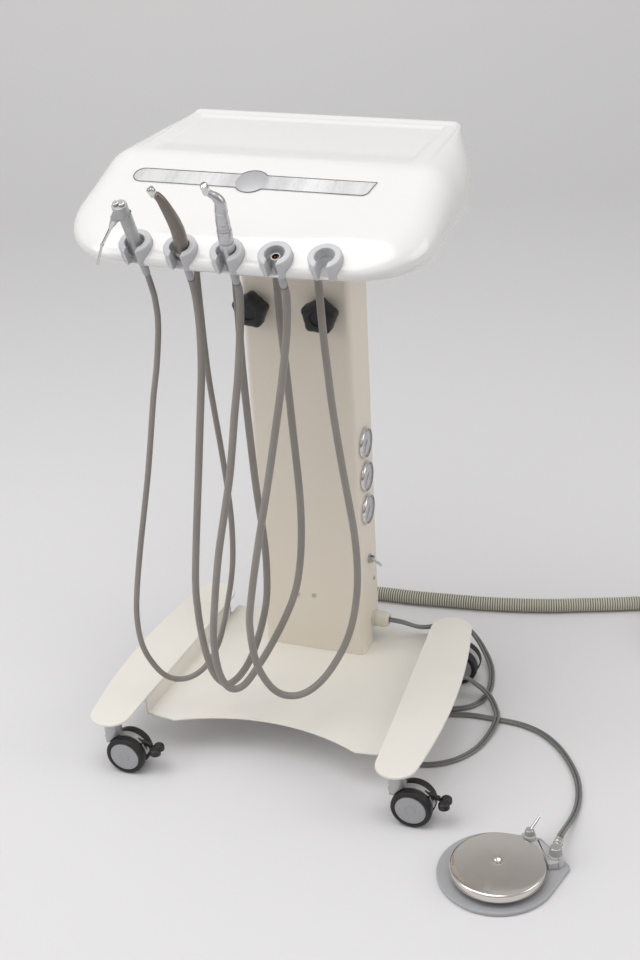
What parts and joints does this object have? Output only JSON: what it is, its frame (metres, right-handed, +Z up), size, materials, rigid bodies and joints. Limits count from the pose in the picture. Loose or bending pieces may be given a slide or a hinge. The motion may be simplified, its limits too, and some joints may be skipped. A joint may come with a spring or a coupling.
{
  "type": "portable dental unit",
  "caption": "Portable dental delivery cart with an instrument head on a sliding mast, hand instruments in holders, long hoses, a wheeled base and a disc foot control.",
  "frame": {"origin": "on the floor, under the middle of the bounding box of the unit without its cords", "axes": "+Z up, -Y towards the operator, +X towards the foot control, on the operator's right"},
  "size_m": [1.0967, 0.9036, 0.946],
  "materials": {
    "ivory_paint": "powder coated, satin",
    "white_shell": "gloss",
    "pan_plastic": "matte",
    "holder_grey": "satin",
    "label_metal": "bare, satin",
    "knob_black": "matte",
    "chrome_bezel": "polished",
    "dial_white": "matte",
    "gauge_glass": "clear",
    "pointer_black": "matte",
    "plated_steel": "plated",
    "gland_cream": "matte",
    "mast_steel": "brushed",
    "block_alloy": "anodised",
    "syringe_grey": "anodised, satin",
    "turbine_taupe": "satin",
    "satin_silver": "satin",
    "coupler_grey": "satin",
    "hose_grey": "silicone, satin",
    "outlet_grey": "matte",
    "twin_hose_grey": "satin",
    "conduit_beige": "ribbed, satin",
    "black_plastic": "matte",
    "plug_grey": "matte",
    "foot_grey": "satin",
    "foot_housing_grey": "satin",
    "spring_steel": "oiled",
    "caster_silver": "satin",
    "wheel_black": "rubber tread, grey centre"
  },
  "bodies": {
    "base": {"base_plate": "ivory_paint", "leg_left": "ivory_paint", "leg_right": "ivory_paint", "caster_stems": "plated_steel", "column_shell": "ivory_paint", "column_back_cover": "ivory_paint", "valve_block": "block_alloy", "gauge_cases": "chrome_bezel", "gauge_dials": "dial_white", "gauge_glasses": "gauge_glass", "toggle_body": "plated_steel", "hose_gland": "gland_cream", "screws": "plated_steel", "foot_base": "foot_grey", "foot_housing": "foot_housing_grey", "foot_spring": "spring_steel", "foot_fitting": "chrome_bezel", "foot_hose_a": "twin_hose_grey", "foot_hose_b": "twin_hose_grey", "conduit_hose": "conduit_beige", "conduit_coil": "conduit_beige", "conduit_tie": "black_plastic", "conduit_plug": "plug_grey"},
    "head": {"mast": "mast_steel", "head_shell": "white_shell", "head_pan": "pan_plastic", "label_plate": "label_metal", "holders": "holder_grey", "hose_outlets": "outlet_grey", "hose_1": "hose_grey", "hose_2": "hose_grey", "hose_3": "hose_grey", "hose_4": "hose_grey", "syringe_body": "syringe_grey", "turbine_handpiece": "turbine_taupe", "micromotor": "satin_silver", "hose_coupler": "coupler_grey"},
    "clamp_knob_left": {"clamp_knob_left": "knob_black"},
    "clamp_knob_right": {"clamp_knob_right": "knob_black"},
    "gauge_needle_1": {"gauge_needle_1": "pointer_black"},
    "gauge_needle_2": {"gauge_needle_2": "pointer_black"},
    "gauge_needle_3": {"gauge_needle_3": "pointer_black"},
    "toggle_lever": {"toggle_lever": "chrome_bezel"},
    "syringe_nozzle": {"syringe_nozzle": "chrome_bezel"},
    "syringe_button_air": {"syringe_button_air": "chrome_bezel"},
    "syringe_button_water": {"syringe_button_water": "chrome_bezel"},
    "turbine_button": {"turbine_button": "satin_silver"},
    "contra_angle": {"contra_angle": "satin_silver"},
    "foot_disc": {"foot_disc": "chrome_bezel"},
    "foot_lever": {"foot_lever": "chrome_bezel"},
    "caster_fl": {"caster_housing_fl": "caster_silver"},
    "wheels_fl": {"caster_wheels_fl": "wheel_black"},
    "pedal_fl": {"caster_pedal_fl": "black_plastic"},
    "caster_fr": {"caster_housing_fr": "caster_silver"},
    "wheels_fr": {"caster_wheels_fr": "wheel_black"},
    "pedal_fr": {"caster_pedal_fr": "black_plastic"},
    "caster_bl": {"caster_housing_bl": "caster_silver"},
    "wheels_bl": {"caster_wheels_bl": "wheel_black"},
    "caster_br": {"caster_housing_br": "caster_silver"},
    "wheels_br": {"caster_wheels_br": "wheel_black"}
  },
  "joints": [
    {"name": "head_lift", "type": "slide", "parent": "base", "child": "head", "axis": [0, 0, 1], "range_m": [0, 0.12]},
    {"name": "clamp_knob_left_turn", "type": "hinge", "parent": "base", "child": "clamp_knob_left", "pos_m": [-0.17846, 0.1454, 0.662], "axis": [0, -1, 0], "range_deg": [0, 360]},
    {"name": "clamp_knob_right_turn", "type": "hinge", "parent": "base", "child": "clamp_knob_right", "pos_m": [-0.07046, 0.1454, 0.662], "axis": [0, -1, 0], "range_deg": [0, 360]},
    {"name": "needle_1", "type": "hinge", "parent": "base", "child": "gauge_needle_1", "pos_m": [-0.02976, 0.1837, 0.434], "axis": [-1, 0, 0], "range_deg": [0, 270]},
    {"name": "needle_2", "type": "hinge", "parent": "base", "child": "gauge_needle_2", "pos_m": [-0.02976, 0.1837, 0.376], "axis": [-1, 0, 0], "range_deg": [0, 270]},
    {"name": "needle_3", "type": "hinge", "parent": "base", "child": "gauge_needle_3", "pos_m": [-0.02976, 0.1837, 0.318], "axis": [-1, 0, 0], "range_deg": [0, 270]},
    {"name": "toggle", "type": "hinge", "parent": "base", "child": "toggle_lever", "pos_m": [-0.02476, 0.186, 0.226], "axis": [0, -1, 0], "range_deg": [0, 62]},
    {"name": "nozzle_swivel", "type": "hinge", "parent": "head", "child": "syringe_nozzle", "pos_m": [-0.24686, -0.11527, 0.89428], "axis": [-0.5225, 0, -0.8526], "continuous": true},
    {"name": "syringe_button_air_press", "type": "slide", "parent": "head", "child": "syringe_button_air", "axis": [0, 0.4226, -0.9063], "range_m": [0, 0.0018], "stiffness_N_per_m": 600, "springref_m": -0.001},
    {"name": "syringe_button_water_press", "type": "slide", "parent": "head", "child": "syringe_button_water", "axis": [0, 0.4226, -0.9063], "range_m": [0, 0.0018], "stiffness_N_per_m": 600, "springref_m": -0.001},
    {"name": "turbine_button_press", "type": "slide", "parent": "head", "child": "turbine_button", "axis": [0.342, 0.3971, -0.8517], "range_m": [0, 0.0006], "stiffness_N_per_m": 3000, "springref_m": -0.0005},
    {"name": "contra_angle_turn", "type": "hinge", "parent": "head", "child": "contra_angle", "pos_m": [-0.11046, -0.08655, 0.82087], "axis": [0.1097, -0.4201, 0.9008], "continuous": true},
    {"name": "foot_disc_press", "type": "slide", "parent": "base", "child": "foot_disc", "axis": [0, 0, -1], "range_m": [0, 0.004], "stiffness_N_per_m": 6000, "springref_m": -0.003, "deforming": ["foot_spring"]},
    {"name": "foot_lever_turn", "type": "hinge", "parent": "base", "child": "foot_lever", "pos_m": [0.31484, -0.1605, 0.03], "axis": [0, 0, 1], "range_deg": [-30, 30]},
    {"name": "swivel_fl", "type": "hinge", "parent": "base", "child": "caster_fl", "pos_m": [-0.33996, -0.145, 0.08], "axis": [0, 0, 1], "continuous": true},
    {"name": "roll_fl", "type": "hinge", "parent": "caster_fl", "child": "wheels_fl", "pos_m": [-0.31596, -0.145, 0.031], "axis": [0, 1, 0], "continuous": true},
    {"name": "brake_fl", "type": "hinge", "parent": "caster_fl", "child": "pedal_fl", "pos_m": [-0.29296, -0.145, 0.049], "axis": [0, 1, 0], "range_deg": [0, 15]},
    {"name": "swivel_fr", "type": "hinge", "parent": "base", "child": "caster_fr", "pos_m": [0.11604, -0.145, 0.08], "axis": [0, 0, 1], "continuous": true},
    {"name": "roll_fr", "type": "hinge", "parent": "caster_fr", "child": "wheels_fr", "pos_m": [0.14004, -0.145, 0.031], "axis": [0, 1, 0], "continuous": true},
    {"name": "brake_fr", "type": "hinge", "parent": "caster_fr", "child": "pedal_fr", "pos_m": [0.16304, -0.145, 0.049], "axis": [0, 1, 0], "range_deg": [0, 15]},
    {"name": "swivel_bl", "type": "hinge", "parent": "base", "child": "caster_bl", "pos_m": [-0.30996, 0.22, 0.08], "axis": [0, 0, 1], "continuous": true},
    {"name": "roll_bl", "type": "hinge", "parent": "caster_bl", "child": "wheels_bl", "pos_m": [-0.33396, 0.22, 0.031], "axis": [0, 1, 0], "continuous": true},
    {"name": "swivel_br", "type": "hinge", "parent": "base", "child": "caster_br", "pos_m": [0.08604, 0.22, 0.08], "axis": [0, 0, 1], "continuous": true},
    {"name": "roll_br", "type": "hinge", "parent": "caster_br", "child": "wheels_br", "pos_m": [0.11004, 0.22, 0.031], "axis": [0, 1, 0], "continuous": true}
  ]
}
